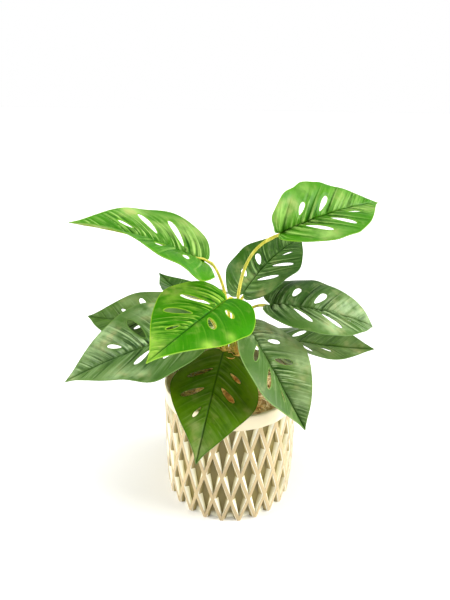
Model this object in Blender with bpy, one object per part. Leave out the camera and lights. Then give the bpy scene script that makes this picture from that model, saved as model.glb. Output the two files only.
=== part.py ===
"""Potted monstera adansonii, 28 cm tall, built with its diamond-lattice pot.

Metres, +Z up. The origin is the middle of the pot's flat underside, and the front
of the plant faces -Y. Every leaf is one blade of the same mould, bent by its own
droop, sway, roll, fold and arch, and carried by its own stem, which stands in a
plain hole through the fibre layer and the plug below it.
"""
import math
from collections import namedtuple

import bmesh
import bpy
from mathutils import Vector
from mathutils.geometry import delaunay_2d_cdt

MM = 0.001
GAP = 0.3 * MM

# Pot
POT_RADIUS = 60 * MM
POT_FOOT_RADIUS = 58.6 * MM
POT_HEIGHT = 110.5 * MM
POT_INNER_RADIUS = 53.5 * MM
POT_FLOOR = 7 * MM
RIM_ROUND = 1.2 * MM
COLUMNS = 24
ROW_PITCH = 24.5 * MM
LATTICE_TURN = math.radians(2.0)
RIDGE_WIDTH = 2.7 * MM
PIT_DEPTH = 4.0 * MM
PIT_FLOOR_ACROSS = 0.46
PIT_FLOOR_UP = 0.82
TOP_LEDGE = 3 * MM
TOP_ROW = 4

# Filling
FILLING_RADIUS = 52.6 * MM
PLUG_TOP = 74 * MM
FIBRE_EDGE = 97 * MM
FIBRE_TILT = 9 * MM
FIBRE_HIGH_SIDE = math.radians(60)
FIBRE_CROWN = 135 * MM
FIBRE_STEEPNESS = 1.6
FIBRE_LUMP = 1.6 * MM
FIBRE_SIDES = 30
FIBRE_RINGS = 6

# Stems
STEM_RADIUS = 1.4 * MM
STEM_NECK_RADIUS = 1.15 * MM
STEM_FOOT = 70 * MM
STEM_FREE = 140 * MM
STEM_HOLE_RADIUS = 2.0 * MM
STEM_POINTS = 11
INNER_RING = 5.6 * MM
OUTER_RING = 11.2 * MM

# Blades
BLADE_THICKNESS = 0.8 * MM
MIDRIB_STEPS = 16
HALF_WIDTH = 0.4
CURVE_STEPS = 2
GRID_STEP = 0.085
EDGE_CLEARANCE = 0.034
LOBE_DEPTH = 0.07

# The flat blade, in shares of its length: along the midrib, then out from it
LEFT_MARGIN = [
    (0, 0), (-0.055, 0.07), (-0.07, 0.165), (-0.01, 0.275), (0.09, 0.36), (0.225, 0.41),
    (0.375, 0.39), (0.54, 0.325), (0.70, 0.225), (0.83, 0.13), (0.925, 0.05), (1, 0),
]
RIGHT_MARGIN = [
    (0, 0), (-0.045, 0.07), (-0.03, 0.17), (0.05, 0.29), (0.20, 0.375), (0.36, 0.395),
    (0.54, 0.335), (0.70, 0.225), (0.82, 0.125), (0.92, 0.045), (1, 0),
]
# A window in the blade: its inner end, its outer end and its width
WINDOWS = [
    ((0.18, -0.05), (0.29, -0.27), 0.050),
    ((0.385, -0.08), (0.50, -0.265), 0.055),
    ((0.56, -0.065), (0.66, -0.115), 0.030),
    ((0.175, 0.105), (0.235, 0.215), 0.050),
    ((0.35, 0.06), (0.455, 0.185), 0.055),
]
WINDOW_POINTS = 10

# Where a leaf starts (mm), how its midrib runs and how its two halves stand
# (degrees, left half first), how far the lobes behind its base curl under, its
# margin's wave (mm, count, phase), and its stem: ring and angle of the hole, how far
# it reaches up and leads in (shares of the span), and on which side of the blade
Leaf = namedtuple("Leaf", "name base heading rise droop sway roll twist fold opening arch "
                          "length width lobes wave ring slot reach side colour")
BRIGHT = (0.16, 0.47, 0.02)
DEEP = (0.04, 0.17, 0.01)
DULL = (0.12, 0.25, 0.07)
LEAVES = [
    Leaf("upper_left", (-24, -1, 220), 197, 31, 14, 19, -15, 8, (25, 19), (14, -17),
         (27, 20), 110, (1.04, 1.05), 55, (1.6, 2.3, 200), INNER_RING, 100, (0.50, 0.10), 1, BRIGHT),
    Leaf("upper_right", (37, 3, 244), 20, 20, 33, -1, 52, -18, (38, 41), (-58, -38),
         (62, 25), 109, (0.72, 0.87), 118, (1.2, 3.0, 20), INNER_RING, 300, (0.62, 0.28), -1, BRIGHT),
    Leaf("centre", (-5, -17, 194), 242, -2, 10, -5, -11, 9, (19, 17), (-3, -19),
         (64, 19), 99, (0.91, 1.00), 20, (1.2, 2.2, 120), 0, 0, (0.60, 0.25), -1, BRIGHT),
    Leaf("front", (-7, -17, 146), 259, -21, 12, 2, -10, 1, (-4, -2), (52, 52),
         (22, 13), 98, (1.00, 0.92), 20, (1.0, 2.0, 0), INNER_RING, 225, (0.80, 0.40), -1, DEEP),
    Leaf("front_right", (13, -18, 170), 310, -36, 27, 20, -15, 25, (20, 39), (34, 11),
         (22, 40), 96, (1.06, 1.01), 20, (1.2, 2.4, 60), OUTER_RING, 340, (0.70, 0.40), -1, DULL),
    Leaf("right", (32, 5, 181), 349, 3, 59, 12, 37, 2, (16, 46), (20, -4),
         (70, 36), 108, (0.85, 0.87), 30, (1.2, 2.6, 90), INNER_RING, 20, (0.60, 0.35), -1, DULL),
    Leaf("back_right", (9, 11, 188), 40, 47, 46, 4, 6, 4, (2, 8), (30, -24),
         (-2, 3), 89, (0.96, 0.95), 20, (1.6, 2.2, 150), OUTER_RING, 85, (0.50, 0.30), -1, DEEP),
    Leaf("left", (-27, -25, 168), 178, -16, 11, 16, 3, -6, (-6, 15), (13, 36),
         (3, -9), 119, (0.99, 1.20), 20, (1.8, 2.2, 30), OUTER_RING, 215, (0.60, 0.35), -1, DULL),
    Leaf("left_back", (-38, 25, 162), 186, -10, 1, -31, -8, -20, (22, 21), (7, 24),
         (23, 28), 103, (0.98, 0.86), 20, (1.2, 2.2, 250), OUTER_RING, 175, (0.45, 0.35), -1, DULL),
    Leaf("back_left", (-26, 58, 164), 122, -25, -42, 10, 6, 1, (26, 16), (2, 5),
         (20, 26), 108, (0.76, 1.00), 20, (1.2, 2.2, 80), INNER_RING, 155, (0.60, 0.30), -1, DEEP),
    Leaf("right_low", (17, 43, 136), 347, -8, -10, 9, -12, 26, (12, 19), (26, -27),
         (35, 2), 118, (1.03, 1.02), 20, (1.2, 2.2, 310), OUTER_RING, 30, (0.70, 0.35), -1, DEEP),
    Leaf("behind", (-6, 34, 148), 100, -18, 26, 4, 4, 6, (14, 12), (20, 20),
         (26, 24), 98, (0.95, 0.90), 20, (1.4, 2.2, 10), OUTER_RING, 112, (0.60, 0.35), -1, DEEP),
    Leaf("behind_right", (22, 21, 136), 50, -34, 18, 6, 4, -6, (12, 12), (18, 12),
         (24, 28), 94, (1.00, 1.00), 20, (1.4, 2.4, 130), OUTER_RING, 58, (0.60, 0.35), -1, DEEP),
    Leaf("behind_left", (-26, 18, 138), 142, -34, 18, -6, -4, 4, (12, 12), (18, 14),
         (24, 22), 94, (1.00, 1.00), 20, (1.4, 2.1, 220), OUTER_RING, 142, (0.60, 0.35), -1, DEEP),
]
WHITE_GLAZE = (0.86, 0.83, 0.74)
FIBRE_BROWN = (0.30, 0.18, 0.07)
PLUG_GREY = (0.12, 0.11, 0.09)
STEM_YELLOW = (0.55, 0.50, 0.10)


def clear_scene():
    for obj in list(bpy.data.objects):
        bpy.data.objects.remove(obj, do_unlink=True)


def make_material(name, colour, roughness):
    material = bpy.data.materials.new(name)
    material.use_nodes = True
    shader = material.node_tree.nodes["Principled BSDF"]
    shader.inputs["Base Color"].default_value = (*colour, 1)
    shader.inputs["Roughness"].default_value = roughness
    shader.inputs["Metallic"].default_value = 0
    return material


def add_object(name, data, material):
    obj = bpy.data.objects.new(name, data)
    bpy.context.collection.objects.link(obj)
    data.materials.append(material)
    return obj


def finish_mesh(mesh_builder, name, material, sharp_angle=30):
    bmesh.ops.recalc_face_normals(mesh_builder, faces=mesh_builder.faces)
    mesh = bpy.data.meshes.new(name)
    mesh_builder.to_mesh(mesh)
    mesh_builder.free()
    mesh.shade_smooth()
    mesh.set_sharp_from_angle(angle=math.radians(sharp_angle))
    return add_object(name, mesh, material)


def polar(radius, angle, z):
    return Vector((radius * math.sin(angle), -radius * math.cos(angle), z))


# Pot: crossing ridges stand out, and each tall rhombus between them is a pit

def ridge_radius(z):
    rise = min(1, z / ROW_PITCH)
    return POT_RADIUS - (POT_RADIUS - POT_FOOT_RADIUS) * (1 - rise) ** 2


def lattice_cell(builder, row, step):
    """Rim and floor corners of the pit centred on this row and half column."""
    half_angle = math.pi / COLUMNS
    half_wide = POT_RADIUS * half_angle
    to_side = half_wide * ROW_PITCH / math.hypot(half_wide, ROW_PITCH)
    rim_share = 1 - 0.5 * RIDGE_WIDTH / to_side
    angle = LATTICE_TURN + step * half_angle
    height = row * ROW_PITCH
    cell = {}
    for layer, wide, tall, depth in (("rim", rim_share, rim_share, 0),
                                     ("floor", PIT_FLOOR_ACROSS, PIT_FLOOR_UP, PIT_DEPTH)):
        for side, across, up in (("left", -1, 0), ("right", 1, 0), ("top", 0, 1), ("bottom", 0, -1)):
            z = height + up * tall * ROW_PITCH
            if z < -GAP or z > TOP_ROW * ROW_PITCH + GAP:
                continue
            if row == TOP_ROW and layer == "floor" and up == 0:
                z = height - TOP_LEDGE
            place = polar(ridge_radius(z) - depth, angle + across * wide * half_angle, z)
            cell[layer, side] = builder.verts.new(place)
    return cell


def pit_faces(builder, cell, row):
    around = [side for side in ("left", "top", "right", "bottom") if ("rim", side) in cell]
    pairs = list(zip(around, around[1:]))
    if len(around) == 4:
        pairs.append((around[3], around[0]))
    elif row == TOP_ROW:
        pairs = [("left", "bottom"), ("bottom", "right"), ("right", "left")]
    for one, two in pairs:
        builder.faces.new([cell["rim", one], cell["rim", two], cell["floor", two], cell["floor", one]])
    builder.faces.new([cell["floor", side] for side in around])


def make_pot():
    builder = bmesh.new()
    steps = 2 * COLUMNS
    cells = {}
    for row in range(TOP_ROW + 1):
        for step in range(row % 2, steps, 2):
            cells[row, step] = lattice_cell(builder, row, step)
            pit_faces(builder, cells[row, step], row)

    def corner(row, step, side):
        return cells[row, step % steps]["rim", side]

    for row in range(TOP_ROW):
        for step in range(1 - row % 2, steps, 2):
            builder.faces.new([corner(row, step + 1, "left"), corner(row, step + 1, "top"),
                               corner(row + 1, step, "right"), corner(row + 1, step, "bottom")])
            builder.faces.new([corner(row, step - 1, "right"), corner(row, step - 1, "top"),
                               corner(row + 1, step, "left"), corner(row + 1, step, "bottom")])
    for row in range(TOP_ROW + 1):
        for step in range(1 - row % 2, steps, 2):
            crossing = [corner(row, step - 1, "right")]
            if row > 0:
                crossing.append(corner(row - 1, step, "top"))
            crossing.append(corner(row, step + 1, "left"))
            if row < TOP_ROW:
                crossing.append(corner(row + 1, step, "bottom"))
            builder.faces.new(crossing)

    close_pot_underside(builder, cells, steps)
    close_pot_mouth(builder, cells, steps)
    return finish_mesh(builder, "pot", make_material("pot_glaze", WHITE_GLAZE, 0.3))


def close_pot_underside(builder, cells, steps):
    loop = []
    for step in range(0, steps, 2):
        cell = cells[0, step]
        loop += [cell["rim", "left"], cell["floor", "left"], cell["floor", "right"], cell["rim", "right"]]
    builder.faces.new(loop)


def close_pot_mouth(builder, cells, steps):
    below = []
    for step in range(0, steps, 2):
        below += [cells[TOP_ROW, step]["rim", "left"], cells[TOP_ROW, step]["rim", "right"]]
    angles = [math.atan2(vert.co.x, -vert.co.y) for vert in below]
    profile = [
        (POT_RADIUS, POT_HEIGHT - RIM_ROUND),
        (POT_RADIUS - 0.5 * RIM_ROUND, POT_HEIGHT),
        (POT_RADIUS - 2 * RIM_ROUND, POT_HEIGHT),
        (POT_RADIUS - 2.5 * RIM_ROUND, POT_HEIGHT - RIM_ROUND),
        (POT_INNER_RADIUS, POT_HEIGHT - 8 * RIM_ROUND),
        (POT_INNER_RADIUS, POT_FLOOR),
    ]
    for radius, z in profile:
        ring = [builder.verts.new(polar(radius, angle, z)) for angle in angles]
        for index in range(len(ring)):
            after = (index + 1) % len(ring)
            builder.faces.new([below[index], below[after], ring[after], ring[index]])
        below = ring
    builder.faces.new(below)


# Filling: a plug in the pot, and a domed layer of curled fibre on it

def lump(angle, share):
    """How far the fibre's dome swells or sinks at this angle and share of its radius."""
    wave = math.sin(3 * angle + 5 * share) + math.sin(7 * angle - 9 * share + 1.3)
    wave += 0.7 * math.cos(11 * angle + 4 * share)
    return FIBRE_LUMP * wave * share * (1 - share) * 2


def fibre_height(angle, share):
    """A mound round the stems that reaches the rim at the front right and sinks at the back left."""
    edge = FIBRE_EDGE + FIBRE_TILT * math.cos(angle - FIBRE_HIGH_SIDE)
    rise = (FIBRE_CROWN - edge) * (1 - share) ** FIBRE_STEEPNESS
    return edge + rise + lump(angle, share)


def turned_body(name, radius, bottom, top_of, rings, material):
    """A solid of revolution whose top follows a function of angle and share."""
    builder = bmesh.new()
    angles = [math.tau * index / FIBRE_SIDES for index in range(FIBRE_SIDES)]
    loops = [[builder.verts.new(polar(radius, angle, bottom)) for angle in angles]]
    for ring in range(rings, 0, -1):
        share = ring / rings
        loops.append([builder.verts.new(polar(radius * share, a, top_of(a, share))) for a in angles])
    crown = builder.verts.new(Vector((0, 0, top_of(0, 0))))
    for lower, upper in zip(loops, loops[1:]):
        for index in range(FIBRE_SIDES):
            after = (index + 1) % FIBRE_SIDES
            builder.faces.new([lower[index], lower[after], upper[after], upper[index]])
    for index in range(FIBRE_SIDES):
        builder.faces.new([loops[-1][index], loops[-1][(index + 1) % FIBRE_SIDES], crown])
    builder.faces.new(loops[0])
    bmesh.ops.triangulate(builder, faces=builder.faces)
    return finish_mesh(builder, name, material)


def hole_cutters():
    """One plain upright hole for each stem, joined in one hidden cutter."""
    builder = bmesh.new()
    bottom = STEM_FOOT - 1 * MM
    depth = FIBRE_CROWN + 10 * MM - bottom
    for leaf in LEAVES:
        place = slot_place(leaf)
        made = bmesh.ops.create_cone(builder, cap_ends=True, segments=10, radius1=STEM_HOLE_RADIUS,
                                     radius2=STEM_HOLE_RADIUS, depth=depth)
        bmesh.ops.translate(builder, verts=made["verts"],
                            vec=(place.x, place.y, bottom + depth / 2))
    mesh = bpy.data.meshes.new("stem_holes")
    builder.to_mesh(mesh)
    builder.free()
    cutter = bpy.data.objects.new("stem_holes", mesh)
    bpy.context.collection.objects.link(cutter)
    cutter.display_type = "WIRE"
    cutter.hide_render = True
    return cutter


def make_filling():
    plug = turned_body("plug", FILLING_RADIUS, POT_FLOOR + GAP, lambda angle, share: PLUG_TOP, 1,
                       make_material("plug_foam", PLUG_GREY, 0.95))
    fibre = turned_body("fibre", FILLING_RADIUS, PLUG_TOP + GAP, fibre_height, FIBRE_RINGS,
                        make_material("curled_fibre", FIBRE_BROWN, 0.9))
    cutter = hole_cutters()
    for body in (plug, fibre):
        cut = body.modifiers.new("stem_holes", "BOOLEAN")
        cut.operation = "DIFFERENCE"
        cut.solver = "EXACT"
        cut.object = cutter


# Blades: one flat shape with five windows, bent by each leaf's own values

def smooth_curve(points, steps):
    """Catmull-Rom curve through the points."""
    points = [Vector(point) for point in points]
    points = [2 * points[0] - points[1]] + points + [2 * points[-1] - points[-2]]
    curve = []
    for before, start, end, after in zip(points, points[1:], points[2:], points[3:]):
        for step in range(steps):
            t = step / steps
            curve.append(0.5 * (2 * start + (end - before) * t
                                + (2 * before - 5 * start + 4 * end - after) * t ** 2
                                + (3 * start - before - 3 * end + after) * t ** 3))
    return curve + [points[-2]]


def blade_outline():
    left = smooth_curve(LEFT_MARGIN, CURVE_STEPS)
    right = smooth_curve(RIGHT_MARGIN, CURVE_STEPS)
    return left[:-1] + [Vector((u, -v)) for u, v in reversed(right)][:-1]


def window_outline(inner, outer, width):
    """A slot with a narrow inner end and a rounder outer end."""
    inner, outer = Vector(inner), Vector(outer)
    axis = outer - inner
    side = Vector((-axis.y, axis.x)).normalized()
    points = []
    for index in range(WINDOW_POINTS):
        turn = math.tau * (index + 0.5) / WINDOW_POINTS
        along = 0.5 - 0.5 * math.cos(turn)
        across = 0.5 * width * math.sin(turn) * (0.7 + 0.6 * along)
        points.append(inner + axis * along + side * across)
    return points


def inside_loop(point, loop):
    inside = False
    for one, two in zip(loop, loop[1:] + loop[:1]):
        if (one.y > point.y) != (two.y > point.y):
            cross = one.x + (point.y - one.y) / (two.y - one.y) * (two.x - one.x)
            if point.x < cross:
                inside = not inside
    return inside


def distance_to_loop(point, loop):
    nearest = math.inf
    for one, two in zip(loop, loop[1:] + loop[:1]):
        along = max(0, min(1, (point - one).dot(two - one) / (two - one).length_squared))
        nearest = min(nearest, (point - one - (two - one) * along).length)
    return nearest


def flat_blade():
    """Points and triangles of the flat blade, cut out round its windows."""
    outline = blade_outline()
    windows = [window_outline(*window) for window in WINDOWS]
    points, edges = [], []
    for loop in [outline] + windows:
        first = len(points)
        points += loop
        edges += [(first + index, first + (index + 1) % len(loop)) for index in range(len(loop))]
    start = outline.index(min(outline, key=lambda point: point.length))
    tip = outline.index(max(outline, key=lambda point: point.x))
    midrib = [start]
    for index in range(1, int(1 / GRID_STEP)):
        midrib.append(len(points))
        points.append(Vector((index * GRID_STEP, 0)))
    midrib.append(tip)
    edges += list(zip(midrib, midrib[1:]))
    rows = int(0.5 / GRID_STEP)
    for row in range(-rows, rows + 1):
        for column in range(-2, int(1 / GRID_STEP) + 1):
            point = Vector(((column + 0.5 * (row % 2)) * GRID_STEP, row * GRID_STEP))
            if row == 0 or not inside_loop(point, outline):
                continue
            if distance_to_loop(point, outline) < EDGE_CLEARANCE:
                continue
            if any(inside_loop(point, w) or distance_to_loop(point, w) < EDGE_CLEARANCE for w in windows):
                continue
            points.append(point)
    result = delaunay_2d_cdt(points, edges, [], 0, 1e-6)
    flat, triangles = result[0], []
    for face in result[2]:
        middle = (flat[face[0]] + flat[face[1]] + flat[face[2]]) / 3
        if inside_loop(middle, outline) and not any(inside_loop(middle, w) for w in windows):
            triangles.append(face)
    return flat, triangles


def midrib_frames(leaf):
    """Place, forward, side and up directions at equal steps along the midrib."""
    heading, rise, roll = (math.radians(value) for value in (leaf.heading, leaf.rise, leaf.roll))
    forward = Vector((math.cos(rise) * math.cos(heading), math.cos(rise) * math.sin(heading),
                      math.sin(rise)))
    side = Vector((-math.sin(heading), math.cos(heading), 0))
    up = forward.cross(side)
    side, up = turn_pair(side, up, roll)
    place = Vector(leaf.base) * MM
    step = leaf.length * MM / MIDRIB_STEPS
    droop, sway, twist = (math.radians(value) / MIDRIB_STEPS
                          for value in (leaf.droop, leaf.sway, leaf.twist))
    frames = [(place, forward, side, up)]
    for _ in range(MIDRIB_STEPS):
        place = place + turn_pair(forward, up, -droop / 2)[0] * step
        forward, up = turn_pair(forward, up, -droop)
        forward, side = turn_pair(forward, side, sway)
        side, up = turn_pair(side, up, twist)
        frames.append((place, forward, side, up))
    return frames


def turn_pair(one, two, angle):
    """Turn two crossed directions, the first towards the second."""
    cosine, sine = math.cos(angle), math.sin(angle)
    return one * cosine + two * sine, two * cosine - one * sine


def bend(leaf, frames, along, across):
    """Where a point of the flat blade lies on the bent leaf."""
    length = leaf.length * MM
    inside = min(1, max(0, along))
    position = inside * MIDRIB_STEPS
    index = min(MIDRIB_STEPS - 1, int(position))
    share = position - index
    place, forward, side, up = (one * (1 - share) + two * share
                                for one, two in zip(frames[index], frames[index + 1]))
    if along < 0:
        curl_under = math.radians(leaf.lobes) / LOBE_DEPTH
        place = place + (forward * math.sin(curl_under * along)
                         - up * (1 - math.cos(curl_under * along))) * length / curl_under
    half = 0 if across >= 0 else 1
    fold = math.radians(leaf.fold[half] + leaf.opening[half] * (inside - 0.4))
    curl = math.radians(leaf.arch[half] or 0.1) / HALF_WIDTH
    reach = abs(across) * leaf.width[half]
    outwards = (math.sin(fold) - math.sin(fold - curl * reach)) / curl
    upwards = (math.cos(fold - curl * reach) - math.cos(fold)) / curl
    size, count, phase = leaf.wave
    ripple = size * MM * (abs(across) / HALF_WIDTH) ** 2
    ripple *= math.sin(math.tau * count * along + math.radians(phase + 70 * half))
    return place + side * math.copysign(outwards, across) * length + up * (upwards * length + ripple)


def make_blade(leaf, flat, triangles, material):
    frames = midrib_frames(leaf)
    builder = bmesh.new()
    verts = [builder.verts.new(bend(leaf, frames, point.x, point.y)) for point in flat]
    for triangle in triangles:
        builder.faces.new([verts[index] for index in triangle])
    for vert in [vert for vert in builder.verts if not vert.link_faces]:
        builder.verts.remove(vert)
    mesh = bpy.data.meshes.new("leaf_" + leaf.name)
    builder.to_mesh(mesh)
    builder.free()
    mesh.shade_smooth()
    blade = add_object("leaf_" + leaf.name, mesh, material)
    wall = blade.modifiers.new("thickness", "SOLIDIFY")
    wall.thickness = BLADE_THICKNESS
    wall.offset = 0
    return blade


# Stems

def slot_place(leaf):
    angle = math.radians(leaf.slot)
    return Vector((leaf.ring * math.cos(angle), leaf.ring * math.sin(angle), 0))


def stem_route(leaf):
    """Upright through the filling, over in one bow, and along the blade's midrib."""
    place, forward, side, up = midrib_frames(leaf)[0]
    clear = STEM_NECK_RADIUS + BLADE_THICKNESS / 2 + GAP
    length = leaf.length * MM
    neck = place - forward * 0.05 * length + up * leaf.side * clear
    end = place + forward * 0.03 * length + up * leaf.side * clear
    foot = slot_place(leaf)
    free = foot + Vector((0, 0, STEM_FREE))
    span = (neck - free).length
    lift, lead = leaf.reach
    handles = (free, free + Vector((0, 0, lift * span)), neck - forward * lead * span, neck)
    route = [foot + Vector((0, 0, STEM_FOOT)), foot + Vector((0, 0, (STEM_FOOT + STEM_FREE) / 2))]
    for index in range(STEM_POINTS):
        t = index / (STEM_POINTS - 1)
        weights = ((1 - t) ** 3, 3 * t * (1 - t) ** 2, 3 * t ** 2 * (1 - t), t ** 3)
        route.append(sum((handle * weight for handle, weight in zip(handles, weights)), Vector()))
    return route + [end]


def make_stem(leaf, material):
    route = stem_route(leaf)
    data = bpy.data.curves.new("stem_" + leaf.name, "CURVE")
    data.dimensions = "3D"
    data.bevel_depth = STEM_RADIUS
    data.bevel_resolution = 1
    data.use_fill_caps = True
    spline = data.splines.new("POLY")
    spline.points.add(len(route) - 1)
    for index, point in enumerate(route):
        share = max(0, index - 2) / (len(route) - 3)
        spline.points[index].co = (*point, 1)
        spline.points[index].radius = 1 - share * (1 - STEM_NECK_RADIUS / STEM_RADIUS)
    return add_object("stem_" + leaf.name, data, material)


def main():
    clear_scene()
    make_pot()
    make_filling()
    flat, triangles = flat_blade()
    for leaf in LEAVES:
        make_blade(leaf, flat, triangles, make_material("blade_" + leaf.name, leaf.colour, 0.4))
        make_stem(leaf, make_material("stalk_" + leaf.name, STEM_YELLOW, 0.5))


main()
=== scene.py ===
"""A young monstera adansonii in a white lattice pot, dressed for its photograph.

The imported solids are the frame. Leaves, stalks, fibre and glazed pot are made here
as finer pieces that keep the solids' places and forms.
"""
import math
import random
from collections import namedtuple

import bpy
from mathutils import Matrix, Vector
from mathutils.geometry import delaunay_2d_cdt


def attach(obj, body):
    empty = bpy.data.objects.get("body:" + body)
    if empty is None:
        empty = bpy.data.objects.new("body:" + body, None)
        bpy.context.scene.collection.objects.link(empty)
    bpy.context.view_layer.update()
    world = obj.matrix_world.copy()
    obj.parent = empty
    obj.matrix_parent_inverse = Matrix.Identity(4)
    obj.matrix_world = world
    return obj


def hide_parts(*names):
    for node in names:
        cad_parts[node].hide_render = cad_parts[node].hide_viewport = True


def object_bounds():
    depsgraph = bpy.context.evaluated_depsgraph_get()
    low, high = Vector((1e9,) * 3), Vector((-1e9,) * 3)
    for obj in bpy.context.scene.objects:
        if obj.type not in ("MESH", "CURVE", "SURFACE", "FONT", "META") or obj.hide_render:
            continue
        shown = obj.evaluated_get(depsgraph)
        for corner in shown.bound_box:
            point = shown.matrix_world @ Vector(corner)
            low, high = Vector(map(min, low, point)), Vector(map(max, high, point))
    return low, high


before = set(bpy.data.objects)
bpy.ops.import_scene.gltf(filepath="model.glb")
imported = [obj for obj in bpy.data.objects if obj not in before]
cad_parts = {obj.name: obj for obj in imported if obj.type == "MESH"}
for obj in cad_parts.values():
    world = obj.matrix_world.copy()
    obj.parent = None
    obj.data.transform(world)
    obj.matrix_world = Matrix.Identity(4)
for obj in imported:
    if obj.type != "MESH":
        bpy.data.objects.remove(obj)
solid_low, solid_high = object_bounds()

MM = 0.001

# The leaf mould, as in the part's source: lengths along and across in shares of the blade's
# length, with the left half above the midrib. A window has its inner and outer end and its width
LEFT_MARGIN = [
    (0, 0), (-0.055, 0.07), (-0.07, 0.165), (-0.01, 0.275), (0.09, 0.36), (0.225, 0.41),
    (0.375, 0.39), (0.54, 0.325), (0.70, 0.225), (0.83, 0.13), (0.925, 0.05), (1, 0),
]
RIGHT_MARGIN = [
    (0, 0), (-0.045, 0.07), (-0.03, 0.17), (0.05, 0.29), (0.20, 0.375), (0.36, 0.395),
    (0.54, 0.335), (0.70, 0.225), (0.82, 0.125), (0.92, 0.045), (1, 0),
]
WINDOWS = [
    ((0.18, -0.05), (0.29, -0.27), 0.050),
    ((0.385, -0.08), (0.50, -0.265), 0.055),
    ((0.56, -0.065), (0.66, -0.115), 0.030),
    ((0.175, 0.105), (0.235, 0.215), 0.050),
    ((0.35, 0.06), (0.455, 0.185), 0.055),
]
HALF_WIDTH = 0.4
LOBE_DEPTH = 0.07
MIDRIB_STEPS = 16
FOLD_PLACE = 0.4
LEAST_ARCH = 0.1
WAVE_SHIFT = 70

# The finer and thinner sheet that the blades are bent from
BLADE_THICKNESS = 0.66 * MM
SHEET_STEP = 0.0098
ROW_SHARE = 0.87
SHEET_REACH = 0.45
LOBE_COLUMNS = 8
MIDRIB_END = 0.99
OUTLINE_STEPS = 7
WINDOW_POINTS = 24
SCALLOP_SHIFT = 100
RIGHT_SCALLOP = 0.4

# Side veins, and the relief between them in shares of the blade's length
VEIN_START = 0.035
VEIN_PITCH = 0.19
VEIN_SLANT = 0.05
VEIN_BOW = 1.1
VEIN_SPREAD = 1.2
RIDGES_PER_PLEAT = 4
PLEAT_HEIGHT = 0.024
CREST_SHARE = 0.3
RIDGE_HEIGHT = 0.0052
CHANNEL_DEPTH = 0.006
CHANNEL_WIDTH = 0.008
CHANNEL_END = 0.1

# Stalks on the part's own routes, with a knee at the blade and a rib that runs out under it
INNER_RING = 5.6 * MM
OUTER_RING = 11.2 * MM
STALK_FOOT = 90 * MM
STALK_FREE = 140 * MM
STALK_RADIUS = 1.4 * MM
NECK_RADIUS = 1.15 * MM
NECK_SETBACK = 0.05
STALK_CLEARANCE = 1.85 * MM
BOW_STEPS = 24
KNEE_SWELLING = 0.28
KNEE_PLACE = 0.97
KNEE_LENGTH = 0.05
RIB_PLACES = (0.02, 0.06, 0.12, 0.2, 0.3, 0.4, 0.5, 0.6, 0.7, 0.8)
RIB_CLEARANCE = 0.45 * MM
RIB_BASE = 0.05
BASE_LIFT = 0.8 * MM
RIB_DIVE = 2.2 * MM
DIVE_LENGTH = 0.12

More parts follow.
